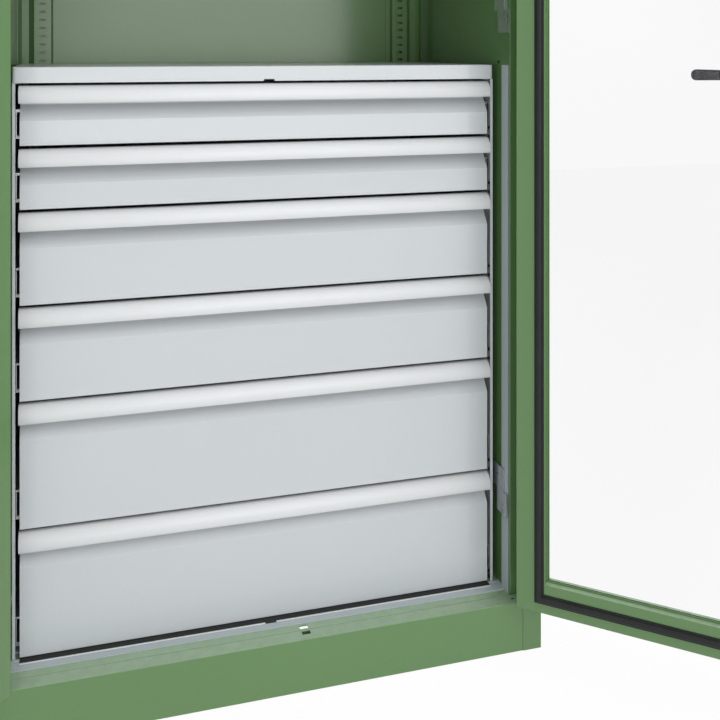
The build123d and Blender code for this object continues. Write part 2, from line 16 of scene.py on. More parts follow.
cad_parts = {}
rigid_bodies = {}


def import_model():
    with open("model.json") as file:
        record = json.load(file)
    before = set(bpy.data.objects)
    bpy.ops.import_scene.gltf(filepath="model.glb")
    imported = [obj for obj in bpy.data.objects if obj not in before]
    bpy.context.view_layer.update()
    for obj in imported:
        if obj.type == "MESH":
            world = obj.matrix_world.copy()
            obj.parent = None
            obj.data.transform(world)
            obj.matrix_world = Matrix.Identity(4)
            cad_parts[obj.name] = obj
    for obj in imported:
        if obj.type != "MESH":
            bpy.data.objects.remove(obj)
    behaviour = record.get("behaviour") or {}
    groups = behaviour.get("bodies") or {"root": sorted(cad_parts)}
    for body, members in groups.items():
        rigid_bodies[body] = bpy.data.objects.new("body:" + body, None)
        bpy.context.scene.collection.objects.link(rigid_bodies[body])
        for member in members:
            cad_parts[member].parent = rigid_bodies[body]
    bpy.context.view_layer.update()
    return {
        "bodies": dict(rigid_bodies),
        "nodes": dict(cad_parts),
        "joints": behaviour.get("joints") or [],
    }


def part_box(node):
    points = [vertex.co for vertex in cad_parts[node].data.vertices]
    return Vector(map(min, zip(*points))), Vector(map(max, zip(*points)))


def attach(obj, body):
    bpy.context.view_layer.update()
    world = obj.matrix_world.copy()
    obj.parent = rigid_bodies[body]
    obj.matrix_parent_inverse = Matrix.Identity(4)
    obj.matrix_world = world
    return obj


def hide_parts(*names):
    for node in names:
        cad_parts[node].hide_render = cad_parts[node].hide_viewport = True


bl_info = {
    "name": "Heavy-duty drawer cabinet",
    "version": (1, 0, 0),
    "blender": (4, 5, 0),
    "location": "3D View > Sidebar > Drawer cabinet",
    "description": "Paints and details a sheet-steel cupboard with a block of six drawers",
    "category": "Object",
}

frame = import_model()
NODES = frame["nodes"]
JOINTS = {joint["name"]: joint for joint in frame["joints"]}
DRAWERS = sorted(int(name.split("_")[1]) for name in frame["bodies"] if name[7:].isdigit())
POST_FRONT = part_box("side_panel_right")[0].y
# the sides and their signs along X
SIDES = {"left": -1, "right": 1}


# Settings

class CabinetColours(bpy.types.PropertyGroup):
    """Paint and material colours, as they look in plain light."""

    green: FloatVectorProperty(
        name="Carcass green", description="Powder coat of carcass and doors",
        subtype="COLOR", size=3, min=0, max=1, default=(0.083, 0.175, 0.057),
    )
    grey: FloatVectorProperty(
        name="Drawer grey", description="Powder coat of drawers and housing",
        subtype="COLOR", size=3, min=0, max=1, default=(0.45, 0.475, 0.49),
    )
    # the grip grey is partly the handles' own lighter, neutral tone and partly painted light: it is set
    # bright so the handles' tops get the brightness that top light gives them
    grip: FloatVectorProperty(
        name="Grip grey", description="Brighter coat of the rolled handles",
        subtype="COLOR", size=3, min=0, max=1, default=(0.56, 0.572, 0.585),
    )
    # the trim grey is partly the strip's own bluer tone and partly painted shade: it is set darker to match
    # the shade the strip lies in under the drawer block
    trim: FloatVectorProperty(
        name="Trim grey", description="Strip round the front of the drawer block",
        subtype="COLOR", size=3, min=0, max=1, default=(0.37, 0.42, 0.44),
    )
    zinc: FloatVectorProperty(
        name="Zinc", description="Plated slides, clips, rods and feet",
        subtype="COLOR", size=3, min=0, max=1, default=(0.55, 0.57, 0.6),
    )
    # the rubber's black also paints the shade behind the trim's lip, as the sill strip
    rubber: FloatVectorProperty(
        name="Rubber", description="Seals, gaskets, sill strip, buffers and foot pads",
        subtype="COLOR", size=3, min=0, max=1, default=(0.011, 0.012, 0.012),
    )
    plastic: FloatVectorProperty(
        name="Lock plastic", description="Swivel handle and its plate",
        subtype="COLOR", size=3, min=0, max=1, default=(0.02, 0.02, 0.022),
    )


class CabinetSizes(bpy.types.PropertyGroup):
    """Sizes of the pieces that are modelled here."""

    handle_roll: FloatProperty(
        name="Handle roll", description="Radius of the handle's roll",
        subtype="DISTANCE", unit="LENGTH", default=0.0195,
    )
    handle_wall: FloatProperty(
        name="Handle wall", description="Thickness of the handle's strip",
        subtype="DISTANCE", unit="LENGTH", default=0.0016,
    )
    handle_curl: FloatProperty(
        name="Lip curl", description="How far the handle's lip turns back",
        subtype="DISTANCE", unit="LENGTH", default=0.001,
    )
    handle_drop: FloatProperty(
        name="Top gap", description="How far the top of the handle's roll stays under its room",
        subtype="DISTANCE", unit="LENGTH", default=0.0022,
    )
    handle_fall: FloatProperty(
        name="Rear fall", description="How far the handle's rear flange lies under its room's top",
        subtype="DISTANCE", unit="LENGTH", default=0.0031,
    )
    bead_width: FloatProperty(
        name="Bead width", description="Width of the glazing bead round a pane",
        subtype="DISTANCE", unit="LENGTH", default=0.0034,
    )
    bead_height: FloatProperty(
        name="Bead height", description="Height of the glazing bead over the pane",
        subtype="DISTANCE", unit="LENGTH", default=0.0016,
    )
    gasket_width: FloatProperty(
        name="Gasket width", description="Visible width of the black gasket along the bead",
        subtype="DISTANCE", unit="LENGTH", default=0.001,
    )
    pane_bite: FloatProperty(
        name="Pane bite", description="How far the pane sits in the frame's groove",
        subtype="DISTANCE", unit="LENGTH", default=0.006,
    )
    seal_width: FloatProperty(
        name="Seal width", description="Width of the rubber seal",
        subtype="DISTANCE", unit="LENGTH", default=0.016,
    )
    housing_sheet: FloatProperty(
        name="Housing sheet", description="Thickness of the drawer housing's sheet",
        subtype="DISTANCE", unit="LENGTH", default=0.0015,
    )
    buffer_in: FloatProperty(
        name="Buffer depth", description="How far the buffers sit behind the housing's front",
        subtype="DISTANCE", unit="LENGTH", default=0.011,
    )
    trim_sheet: FloatProperty(
        name="Trim sheet", description="Thickness of the trim's sheet",
        subtype="DISTANCE", unit="LENGTH", default=0.0015,
    )
    lip_set: FloatProperty(
        name="Lip setback", description="How far the trim's lip stands behind the posts' front",
        subtype="DISTANCE", unit="LENGTH", default=0.0595,
    )
    lip_height: FloatProperty(
        name="Lip height", description="Height of the trim's lip over its base",
        subtype="DISTANCE", unit="LENGTH", default=0.0013,
    )
    notch_half: FloatProperty(
        name="Notch half", description="Half the width of the notch in the middle of the lip",
        subtype="DISTANCE", unit="LENGTH", default=0.0095,
    )
    leaf_screw_in: FloatProperty(
        name="Leaf screws", description="Distance of the leaf screws from the hinge pin",
        subtype="DISTANCE", unit="LENGTH", default=0.0105,
    )
    screw_radius: FloatProperty(
        name="Screw radius", description="Radius of a hinge screw's head",
        subtype="DISTANCE", unit="LENGTH", default=0.0032,
    )
    round_steps: IntProperty(
        name="Round steps", description="Faces round a screw or a pin cap",
        default=32, min=8, max=64,
    )


class CabinetStage(bpy.types.PropertyGroup):
    """Camera, lamps and surroundings."""

    camera_x: FloatProperty(
        name="Camera across", description="Camera's place from the middle of the cupboard",
        subtype="DISTANCE", unit="LENGTH", default=-0.325,
    )
    camera_back: FloatProperty(
        name="Camera back", description="Camera's distance in front of the posts",
        subtype="DISTANCE", unit="LENGTH", default=1.558,
    )
    camera_height: FloatProperty(
        name="Camera height", description="Camera's height over the floor",
        subtype="DISTANCE", unit="LENGTH", default=1.043,
    )
    camera_turn: FloatProperty(
        name="Camera turn", description="Camera's turn to the right",
        subtype="ANGLE", unit="ROTATION", default=radians(16.5),
    )
    lens: FloatProperty(
        name="Lens", description="Focal length on a 36 mm sensor", default=49.45,
    )
    horizon: FloatProperty(
        name="Horizon shift", description="Vertical shift of the lens, in frame widths",
        default=-0.4333,
    )
    sky: FloatProperty(
        name="Surrounding light", description="Strength of the even light from all round",
        default=0.38,
    )
    key: FloatProperty(
        name="Key lamp", description="Power of the soft lamp far in front, to the right",
        unit="POWER", default=58.0,
    )
    top: FloatProperty(
        name="Top lamp", description="Power of the soft lamp high over the front, to the right",
        unit="POWER", default=106.0,
    )
    fill: FloatProperty(
        name="Fill lamp", description="Power of the small lamp low in front, to the left",
        unit="POWER", default=40.0,
    )


# Materials

VALUE = "NodeSocketFloat"
COLOUR = "NodeSocketColor"
VECTOR = "NodeSocketVector"


def group_tree(name, inputs):
    """An empty shader node group with the sockets it takes, and the three that every finish puts out."""
    tree = bpy.data.node_groups.new(name, "ShaderNodeTree")
    for label, kind, default in inputs:
        socket = tree.interface.new_socket(name=label, in_out="INPUT", socket_type=kind)
        if default is not None:
            socket.default_value = default
    for label, kind in (("Colour", COLOUR), ("Roughness", VALUE), ("Normal", VECTOR)):
        tree.interface.new_socket(name=label, in_out="OUTPUT", socket_type=kind)
    return tree, tree.nodes.new("NodeGroupInput"), tree.nodes.new("NodeGroupOutput")


def node(tree, kind, settings=None, **inputs):
    """A node with its settings, and its inputs as sockets to link or as values."""
    made = tree.nodes.new(kind)
    for key, value in (settings or {}).items():
        setattr(made, key, value)
    for label, value in inputs.items():
        place = int(label[1:]) if label[1:].isdigit() else label.replace("_", " ")
        if isinstance(value, bpy.types.NodeSocket):
            tree.links.new(value, made.inputs[place])
        else:
            made.inputs[place].default_value = value
    return made


def maths(tree, operation, *values):
    """What a maths operation makes of its sockets or values."""
    inputs = {f"_{place}": value for place, value in enumerate(values)}
    return node(tree, "ShaderNodeMath", {"operation": operation}, **inputs).outputs[0]


def toned(tree, colour, factor):
    """A colour made lighter or darker by a factor."""
    return node(tree, "ShaderNodeVectorMath", {"operation": "SCALE"}, _0=colour, _3=factor).outputs[0]


def blend(tree, share, first, second):
    """A mix of two colours, by the share of the second."""
    made = node(tree, "ShaderNodeMix", {"data_type": "RGBA"}, Factor=share, _6=first, _7=second)
    return made.outputs[2]


def relief(tree, height, strength, distance):
    """The normal of a surface with fine relief."""
    made = node(tree, "ShaderNodeBump", Height=height, Strength=strength, Distance=distance)
    return made.outputs["Normal"]


def noise_field(tree, vector, scale, detail=2.0, roughness=0.5):
    """Soft noise over the surface, from 0 to 1."""
    made = node(tree, "ShaderNodeTexNoise", Vector=vector, Scale=scale, Detail=detail, Roughness=roughness)
    return made.outputs["Factor"] if "Factor" in made.outputs else made.outputs["Fac"]


def spread(tree, value, low, high, start=0.3, end=0.7):
    """A field from start to end, which soft noise mostly fills, spread to run from low to high."""
    made = node(
        tree, "ShaderNodeMapRange", Value=value, From_Min=start, From_Max=end, To_Min=low, To_Max=high,
    )
    return made.outputs["Result"]


def put_out(tree, put, colour, roughness, normal):
    """Links what a group has made to what it puts out."""
    for label, socket in (("Colour", colour), ("Roughness", roughness), ("Normal", normal)):
        tree.links.new(socket, put.inputs[label])


def coat_group():
    """Powder coat: orange peel, a slightly uneven film, and a paler tone on the faces that look up; its
    amount sets a painted sheen for top light and its reflection on the green, and light dust on the greys.
    """
    tree, given, put = group_tree(
        "powder_coat",
        [
            ("Vector", VECTOR, None),
            ("Colour", COLOUR, (0.5, 0.5, 0.5, 1)),
            ("Gloss", VALUE, 0.4),
            ("Peel", VALUE, 0.08),
            ("Unevenness", VALUE, 0.04),
            ("Dust", VALUE, 0.05),
            ("Dust Colour", COLOUR, (0.62, 0.6, 0.56, 1)),
        ],
    )
    where = given.outputs["Vector"]
    peel = noise_field(tree, where, 620.0, 2.0)
    fine = noise_field(tree, where, 2400.0, 1.0)
    height = maths(tree, "MULTIPLY_ADD", fine, 0.25, peel)
    normal = relief(tree, height, given.outputs["Peel"], 0.0006)
    film = spread(tree, noise_field(tree, where, 3.5, 3.0), -1.0, 1.0)
    lift = maths(tree, "MULTIPLY_ADD", film, given.outputs["Unevenness"], 1.0)
    clean = toned(tree, given.outputs["Colour"], lift)
    # faces that look up take a paler tone: painted sheen for top light on the green, light dust on the greys
    facing = node(tree, "ShaderNodeNewGeometry")
    upward = node(tree, "ShaderNodeSeparateXYZ", Vector=facing.outputs["Normal"])
    top = spread(tree, upward.outputs["Z"], 0.0, 1.0, start=0.6, end=1.0)
    specks = spread(tree, noise_field(tree, where, 60.0, 4.0, 0.6), 0.75, 1.0)
    upward_specks = maths(tree, "MULTIPLY", top, specks)
    sheen_and_dust = maths(tree, "MULTIPLY", upward_specks, given.outputs["Dust"])
    colour = blend(tree, sheen_and_dust, clean, given.outputs["Dust Colour"])
    rub = spread(tree, noise_field(tree, where, 14.0, 4.0, 0.6), -0.008, 0.012)
    rough = maths(tree, "ADD", rub, given.outputs["Gloss"])
    duller = maths(tree, "MULTIPLY_ADD", sheen_and_dust, 0.2, rough)
    put_out(tree, put, colour, duller, normal)
    return tree


def plating_group():
    """Zinc plating: rolled grain along one way, faint spangle and cloudy patches."""
    tree, given, put = group_tree(
        "zinc_plating",
        [
            ("Vector", VECTOR, None),
            ("Colour", COLOUR, (0.6, 0.6, 0.6, 1)),
            ("Gloss", VALUE, 0.32),
            ("Grain", VALUE, 0.06),
        ],
    )
    where = given.outputs["Vector"]
    drawn = node(tree, "ShaderNodeMapping", Vector=where, Scale=(900.0, 12.0, 900.0))
    lines = noise_field(tree, drawn.outputs["Vector"], 1.0, 3.0)
    clouds = noise_field(tree, where, 55.0, 4.0, 0.6)
    cells = node(tree, "ShaderNodeTexVoronoi", Vector=where, Scale=160.0)
    spangle = maths(tree, "MULTIPLY_ADD", cells.outputs["Distance"], 0.35, clouds)
    colour = toned(tree, given.outputs["Colour"], spread(tree, spangle, 0.86, 1.08))
    rough = maths(tree, "ADD", spread(tree, clouds, -0.06, 0.08), given.outputs["Gloss"])
    put_out(tree, put, colour, rough, relief(tree, lines, given.outputs["Grain"], 0.0004))
    return tree


def mould_group():
    """Moulded rubber or plastic: fine pitted skin with lighter rubbed patches."""
    tree, given, put = group_tree(
        "moulded_skin",
        [
            ("Vector", VECTOR, None),
            ("Colour", COLOUR, (0.02, 0.02, 0.02, 1)),
            ("Gloss", VALUE, 0.6),
            ("Pits", VALUE, 0.2),
            ("Rubbed", VALUE, 0.3),
        ],
    )
    where = given.outputs["Vector"]
    pits = noise_field(tree, where, 1500.0, 2.0)
    patches = noise_field(tree, where, 38.0, 5.0, 0.65)
    worn = maths(tree, "MULTIPLY", spread(tree, patches, 0.0, 1.0), given.outputs["Rubbed"])
    colour = toned(tree, given.outputs["Colour"], maths(tree, "ADD", worn, 1.0))
    rough = maths(tree, "ADD", spread(tree, patches, -0.05, 0.07), given.outputs["Gloss"])
    put_out(tree, put, colour, rough, relief(tree, pits, given.outputs["Pits"], 0.0004))
    return tree


GROUP_MAKERS = {"powder_coat": coat_group, "zinc_plating": plating_group, "moulded_skin": mould_group}

# each finish by the name of its material: the group that makes it, its colour among the settings,
# what it gives the group and what it gives the shader
FINISHES = {
    "green_powder_coat": (
        "powder_coat", "green",
        # the large amount and the pale green here paint the sheen of top light and reflection on faces that
        # look up, such as the plinth's ledge
        {"Gloss": 0.26, "Peel": 0.006, "Unevenness": 0.01, "Dust": 0.62, "Dust Colour": (0.4, 0.52, 0.38, 1)},
        {"IOR": 1.5, "Coat Weight": 0.5, "Coat Roughness": 0.16, "Coat IOR": 1.5},
    ),
    "grey_powder_coat": (
        "powder_coat", "grey",
        {"Gloss": 0.42, "Peel": 0.06, "Unevenness": 0.012, "Dust": 0.02},
        {"IOR": 1.47, "Coat Weight": 0.5, "Coat Roughness": 0.04, "Coat IOR": 1.5},
    ),
    # partly the handles' own tone, partly painted light on their tops; the lip's cap takes this coat to paint
    # a highlight
    "grip_coat": (
        "powder_coat", "grip",
        {"Gloss": 0.32, "Peel": 0.03, "Unevenness": 0.01, "Dust": 0.01},
        {"IOR": 1.5},
    ),
    # darker than the drawers' coat: partly the strip's own tone, partly painted shade under the drawer block
    "trim_powder_coat": (
        "powder_coat", "trim",
        {"Gloss": 0.38, "Peel": 0.05, "Unevenness": 0.05, "Dust": 0.03},
        {"IOR": 1.5},
    ),
    "zinc_plated_steel": ("zinc_plating", "zinc", {}, {"Metallic": 0.9}),
    "seal_rubber": ("moulded_skin", "rubber", {"Gloss": 0.5, "Pits": 0.15, "Rubbed": 0.5}, {"IOR": 1.35}),
    "lock_plastic": ("moulded_skin", "plastic", {"Gloss": 0.4, "Pits": 0.25, "Rubbed": 0.2}, {"IOR": 1.5}),
}


def surface(name):
    """A finish's material, whose Principled shader takes colour, roughness and normal from its group."""
    if name in bpy.data.materials:
        return bpy.data.materials[name]
    effect, shade, values, shader = FINISHES[name]
    colour = (*getattr(bpy.context.scene.cabinet_colours, shade), 1)
    made = bpy.data.materials.new(name)
    made.use_nodes = True
    made.diffuse_color = colour
    tree = made.node_tree
    principled = tree.nodes["Principled BSDF"]
    where = node(tree, "ShaderNodeTexCoord")
    skin = tree.nodes.new("ShaderNodeGroup")
    skin.node_tree = bpy.data.node_groups.get(effect) or GROUP_MAKERS[effect]()
    tree.links.new(where.outputs["Object"], skin.inputs["Vector"])
    skin.inputs["Colour"].default_value = colour
    for label, value in values.items():
        skin.inputs[label].default_value = value
    for source, target in (("Colour", "Base Color"), ("Roughness", "Roughness"), ("Normal", "Normal")):
        tree.links.new(skin.outputs[source], principled.inputs[target])
    for label, value in shader.items():
        principled.inputs[label].default_value = value
    return made


def clear_pane():
    """Clear window pane with a faint haze."""
    name = "window_pane"
    if name in bpy.data.materials:
        return bpy.data.materials[name]
    made = bpy.data.materials.new(name)
    made.use_nodes = True
    tree = made.node_tree
    principled = tree.nodes["Principled BSDF"]
    where = node(tree, "ShaderNodeTexCoord").outputs["Object"]
    haze = spread(tree, noise_field(tree, where, 26.0, 5.0, 0.6), 0.01, 0.05)
    cloud = spread(tree, noise_field(tree, where, 2.0, 2.0), 0.0, 1.0)
    tint = blend(tree, cloud, (0.93, 0.93, 0.935, 1), (0.955, 0.955, 0.96, 1))
    # lamps shine through the pane: it casts only a faint shadow
    path = node(tree, "ShaderNodeLightPath")
    alpha = spread(tree, path.outputs["Is Shadow Ray"], 1.0, 0.08, start=0.0, end=1.0)
    for label, socket in (("Alpha", alpha), ("Roughness", haze), ("Base Color", tint)):
        tree.links.new(socket, principled.inputs[label])
    principled.inputs["Transmission Weight"].default_value = 1.0
    principled.inputs["IOR"].default_value = 1.12
    return made


# Mesh helpers

# points closer than this count as one
CLOSE = 1e-6

# a screw's outline: shares of its head's radius, and heights
SCREW_SHAPE = (
    (0, 0.0006), (0.42, 0.0006), (0.46, 0.0011), (0.5, 0.0015), (0.72, 0.0013), (0.92, 0.0008),
    (1, 0.0003), (1, -0.0002), (0, -0.0002),
)


def clothe(names, material):
    """Gives carried-over sheets their finish."""
    for name in names:
        piece = NODES[name]
        if not piece.material_slots:
            piece.data.materials.append(material)
        for slot in piece.material_slots:
            slot.material = material


def finish_piece(name, bm, finish, body, replaced=()):
    """Turns a bmesh into a piece that rides on a body and stands for the nodes it replaces."""
    bmesh.ops.remove_doubles(bm, verts=bm.verts[:], dist=CLOSE)
    bmesh.ops.recalc_face_normals(bm, faces=bm.faces[:])
    mesh = bpy.data.meshes.new(name)
    bm.to_mesh(mesh)
    bm.free()
    mesh.materials.append(surface(finish))
    mesh.shade_smooth()
    mesh.set_sharp_from_angle(angle=radians(35))
    piece = bpy.data.objects.new(name, mesh)
    bpy.context.scene.collection.objects.link(piece)
    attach(piece, body)
    if replaced:
        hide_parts(*replaced)
    return piece


def round_edges(bm, edges, radius, steps):
    """Rounds edges off."""
    bmesh.ops.bevel(
        bm, geom=edges, offset=radius, offset_type="OFFSET", affect="EDGES",
        segments=steps, profile=0.5, material=-1,
    )


def sharp_edges(bm, degrees):
    """The edges whose faces meet at more than an angle."""
    return [edge for edge in bm.edges if edge.calc_face_angle(0) > radians(degrees)]


def runs_deep(edge):
    """Whether a block's edge runs from its front to its back."""
    return abs(edge.verts[0].co.y - edge.verts[1].co.y) > 0.001


def outline(low, high, y, inset=0.0):
    """The corners of an upright rectangle between two points, each moved inwards."""
    x0, x1 = low.x + inset, high.x - inset
    z0, z1 = low.z + inset, high.z - inset
    return [(x0, y, z0), (x1, y, z0), (x1, y, z1), (x0, y, z1)]


def folded_strip(bm, path, start, end, bends, wall):
    """A strip along X: a few points of its path in (y, z), its bends rounded, then given its wall."""
    verts = [bm.verts.new((start, y, z)) for y, z in path]
    edges = [bm.edges.new(pair) for pair in zip(verts, verts[1:])]
    made = bmesh.ops.extrude_edge_only(bm, edges=edges)["geom"]
    swept = [item for item in made if isinstance(item, bmesh.types.BMVert)]
    bmesh.ops.translate(bm, vec=(end - start, 0, 0), verts=swept)
    for (y, z), radius, steps in bends:
        folds = [
            edge for edge in bm.edges
            if len(edge.link_faces) == 2
            and all(abs(v.co.y - y) < CLOSE and abs(v.co.z - z) < CLOSE for v in edge.verts)
        ]
        round_edges(bm, folds, radius, steps)
    bmesh.ops.recalc_face_normals(bm, faces=bm.faces[:])
    bmesh.ops.solidify(bm, geom=bm.faces[:], thickness=wall)


def stepped_ring(bm, corners, section):
    """A closed ring round a flat outline, its section walked inwards as (inward, height along +Y) points."""
    sheet = bm.faces.new([bm.verts.new(corner) for corner in corners])
    for (before, low), (after, high) in zip(section, section[1:]):
        bmesh.ops.inset_region(
            bm, faces=[sheet], thickness=after - before, use_boundary=True, use_even_offset=True,
        )
        bmesh.ops.translate(bm, vec=(0, high - low, 0), verts=sheet.verts[:])
    bmesh.ops.delete(bm, geom=[sheet], context="FACES")
    bmesh.ops.bridge_loops(bm, edges=[edge for edge in bm.edges if edge.is_boundary])


def turned(bm, profile, at, axis, steps):
    """A closed turned body from the (radius, height) points of its outline, about an axis through at."""
    axis = Vector(axis).normalized()
    side = axis.orthogonal().normalized()
    at = Vector(at)
    verts = [bm.verts.new(at + side * r + axis * h) for r, h in profile]
    edges = [bm.edges.new(pair) for pair in zip(verts, verts[1:])]
    bmesh.ops.spin(
        bm, geom=verts + edges, cent=at, axis=axis, angle=radians(360), steps=steps,
        use_merge=True, use_duplicate=False,
    )


def softened_block(bm, low, high, radius=0, steps=2):
    """A block between two corners, with its edges rounded where a radius is given."""
    low, high = Vector(low), Vector(high)
    made = bmesh.ops.create_cube(bm, size=1.0)["verts"]
    bmesh.ops.scale(bm, vec=high - low, verts=made)
    bmesh.ops.translate(bm, vec=(low + high) / 2, verts=made)
    if radius:
        round_edges(bm, list({edge for vert in made for edge in vert.link_edges}), radius, steps)


def screw_head(bm, at, axis, radius, steps):
    """A domed screw head with a round recess in its middle."""
    turned(bm, [(share * radius, height) for share, height in SCREW_SHAPE], at, axis, steps)


def z_runs(name, apart=0.1):
    """The height runs of a node that stands in several places, as (low, high) pairs that far apart."""
    runs = []
    for z in sorted({round(vert.co.z, 5) for vert in NODES[name].data.vertices}):
        if not runs or z - runs[-1][1] > apart:
            runs.append([z, z])
        runs[-1][1] = z
    return runs


def door_turn(side):
    """The turn that carries a closed door to where it stands open."""
    joint = JOINTS[f"door_{side}_hinge"]
    pin = Vector(joint["pos_m"])
    turn = Matrix.Rotation(radians(-joint["range_deg"][0]), 4, Vector(joint["axis"]))
    return Matrix.Translation(pin) @ turn @ Matrix.Translation(-pin)


def closed_box(name, side):
    """The corners of a door's node as they are when its door is closed."""
    back = door_turn(side).inverted()
    spots = [back @ vert.co for vert in NODES[name].data.vertices]
    return tuple(Vector([pick(spot[i] for spot in spots) for i in range(3)]) for pick in (min, max))


# Operators

class CABINET_OT_paint_carcass(bpy.types.Operator):
    """Paint the carcass, the shelves and the door frames green"""

    bl_idname = "cabinet.paint_carcass"
    bl_label = "Paint carcass"

    def execute(self, context):
        names = ["back_panel", "top_panel", "floor_panel", "plinth_panel", "rear_uprights"]
        names += ["shelf_lower", "shelf_upper"]
        for side in SIDES:
            names += [f"side_panel_{side}", f"door_{side}_frame"]
        clothe(names, surface("green_powder_coat"))
        return {"FINISHED"}


class CABINET_OT_paint_drawer_block(bpy.types.Operator):
    """Paint the housing, its cover and trim, and the drawers' boxes and fronts"""

    bl_idname = "cabinet.paint_drawer_block"
    bl_label = "Paint drawer block"

    def execute(self, context):
        names = ["block_cover", "housing_side_left", "housing_side_right"]
        for number in DRAWERS:
            names += [f"drawer_{number}_box", f"drawer_{number}_front"]
        clothe(names, surface("grey_powder_coat"))
        clothe(["front_trim"], surface("trim_powder_coat"))
        return {"FINISHED"}


class CABINET_OT_plate_fittings(bpy.types.Operator):
    """Plate the slides, clips, feet, hinge halves and lock rods with zinc, and give the lock its plastic"""

    bl_idname = "cabinet.plate_fittings"
    bl_label = "Plate fittings"

    def execute(self, context):
        names = ["fixed_rails", "levelling_feet", "shelf_clips", "lock_rod_upper", "lock_rod_lower"]
        for number in DRAWERS:
            names += [f"drawer_{number}_inner_rails", f"drawer_{number}_middle_rails"]
        for side in SIDES:
            names += [f"hinge_{side}_fixed", f"hinge_{side}_leaf"]
        clothe(names, surface("zinc_plated_steel"))
        clothe(["lock_plate", "lock_handle"], surface("lock_plastic"))
        return {"FINISHED"}


class CABINET_OT_glaze_doors(bpy.types.Operator):
    """Give the doors their clear panes, each with a bead and a gasket round it"""

    bl_idname = "cabinet.glaze_doors"
    bl_label = "Glaze doors"

    # the slope of a rim's sides, and how far it stands off the pane
    FOOT = 0.0002

    def execute(self, context):
        sizes = context.scene.cabinet_sizes
        foot = self.FOOT
        # each rim: its finish, how far inside the frame it starts, its width and its height
        rims = {
            "bead": ("green_powder_coat", 0.0, sizes.bead_width, sizes.bead_height),
            "gasket": ("seal_rubber", sizes.bead_width, sizes.gasket_width, sizes.bead_height / 2),
        }
        for side in SIDES:
            name = f"door_{side}_pane"
            clothe([name], clear_pane())
            low, high = closed_box(name, side)
            for kind, (finish, start, width, height) in rims.items():
                corners = outline(low, high, high.y, sizes.pane_bite + start)
                section = [(0.0, foot), (foot / 2, height), (width - foot, height), (width, foot)]
                bm = bmesh.new()
                stepped_ring(bm, corners, section)
                bmesh.ops.translate(bm, vec=(0, foot, 0), verts=bm.verts[:])
                bmesh.ops.transform(bm, matrix=door_turn(side), verts=bm.verts[:])
                finish_piece(f"{kind}_{side}", bm, finish, f"door_{side}")
        return {"FINISHED"}


class CABINET_OT_roll_handles(bpy.types.Operator):
    """Roll the full-width grip strip of each drawer"""

    bl_idname = "cabinet.roll_handles"
    bl_label = "Roll handles"

    # the straight runs behind the roll and under it, the roll's faces and the round of the strip's edges
    BEHIND_ROLL = 0.001
    UNDER_ROLL = 0.004
    ROLL_STEPS = 14
    EDGE_ROUND = 0.0004

    def execute(self, context):
        sizes = context.scene.cabinet_sizes
        roll = sizes.handle_roll
        for number in DRAWERS:
            name = f"drawer_{number}_handle"
            low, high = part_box(name)
            top = high.z - sizes.handle_drop
            path = [
                (high.y, high.z - sizes.handle_fall),
                (low.y + roll + self.BEHIND_ROLL, top),
                (low.y, top),
                (low.y, top - roll - self.UNDER_ROLL),
                (low.y + sizes.handle_curl, low.z),
            ]
            bm = bmesh.new()
            folded_strip(bm, path, low.x, high.x, [((low.y, top), roll, self.ROLL_STEPS)], sizes.handle_wall)
            round_edges(bm, sharp_edges(bm, 60), self.EDGE_ROUND, 2)
            finish_piece(f"grip_{number}", bm, "grip_coat", f"drawer_{number}", (name,))
        return {"FINISHED"}


class CABINET_OT_fit_seals(bpy.types.Operator):
    """Fit the rounded rubber seals on the inner faces of the doors"""

    bl_idname = "cabinet.fit_seals"
    bl_label = "Fit seals"

    # the seal's section as shares of its width and height: two flat feet and a bulb between them
    SECTION = (
        (0.0, 0.0), (0.004, 0.26), (0.03, 0.34), (0.17, 0.34), (0.19, 0.58), (0.25, 0.8), (0.36, 0.95),
        (0.5, 1.0), (0.64, 0.95), (0.75, 0.8), (0.81, 0.58), (0.83, 0.34), (0.97, 0.34), (0.996, 0.26),
        (1.0, 0.0),
    )

    def execute(self, context):
        width = context.scene.cabinet_sizes.seal_width
        for side in SIDES:
            name = f"door_{side}_seal"
            low, high = closed_box(name, side)
            depth = high.y - low.y
            bm = bmesh.new()
            section = [(width * inward, depth * rise) for inward, rise in self.SECTION]
            stepped_ring(bm, outline(low, high, low.y), section)
            bmesh.ops.transform(bm, matrix=door_turn(side), verts=bm.verts[:])
            finish_piece(f"seal_{side}", bm, "seal_rubber", f"door_{side}", (name,))
        return {"FINISHED"}


class CABINET_OT_fit_hinge_screws(bpy.types.Operator):
    """Fit the screws of the hinge leaves and the domed caps of the pins"""

    bl_idname = "cabinet.fit_hinge_screws"
    bl_label = "Fit hinge screws"

    # how far the leaves' faces stand before the posts
    FACE = 0.0027
    # where the screws sit, as shares of a leaf's height
    SHARES = (0.25, 0.75)
    # a pin cap's outline as (radius, height) points
    CAP = ((0, 0), (0.0045, 0), (0.0045, 0.0006), (0.0036, 0.0016), (0.0019, 0.0023), (0, 0.0025))

    def execute(self, context):
        sizes = context.scene.cabinet_sizes
        steps = sizes.round_steps
        face = POST_FRONT - self.FACE
        for side, sign in SIDES.items():
            pin = Vector(JOINTS[f"door_{side}_hinge"]["pos_m"])
            out = Vector((sign * sizes.leaf_screw_in, 0, 0))
            post, door = bmesh.new(), bmesh.new()
            for low, high in z_runs(f"hinge_{side}_leaf"):
                span = high - low
                for share in self.SHARES:
                    below = Vector((pin.x, face, low - span * share))
                    screw_head(post, below + out, (0, -1, 0), sizes.screw_radius, steps)
                    above = Vector((pin.x, face, low + span * share))
                    screw_head(door, above - out, (0, -1, 0), sizes.screw_radius, steps)
                turned(door, self.CAP, (pin.x, pin.y, high), (0, 0, 1), steps)
            bmesh.ops.transform(door, matrix=door_turn(side), verts=door.verts[:])
            finish_piece(f"post_screws_{side}", post, "zinc_plated_steel", "carcass")
            finish_piece(f"door_screws_{side}", door, "zinc_plated_steel", f"door_{side}")
        return {"FINISHED"}


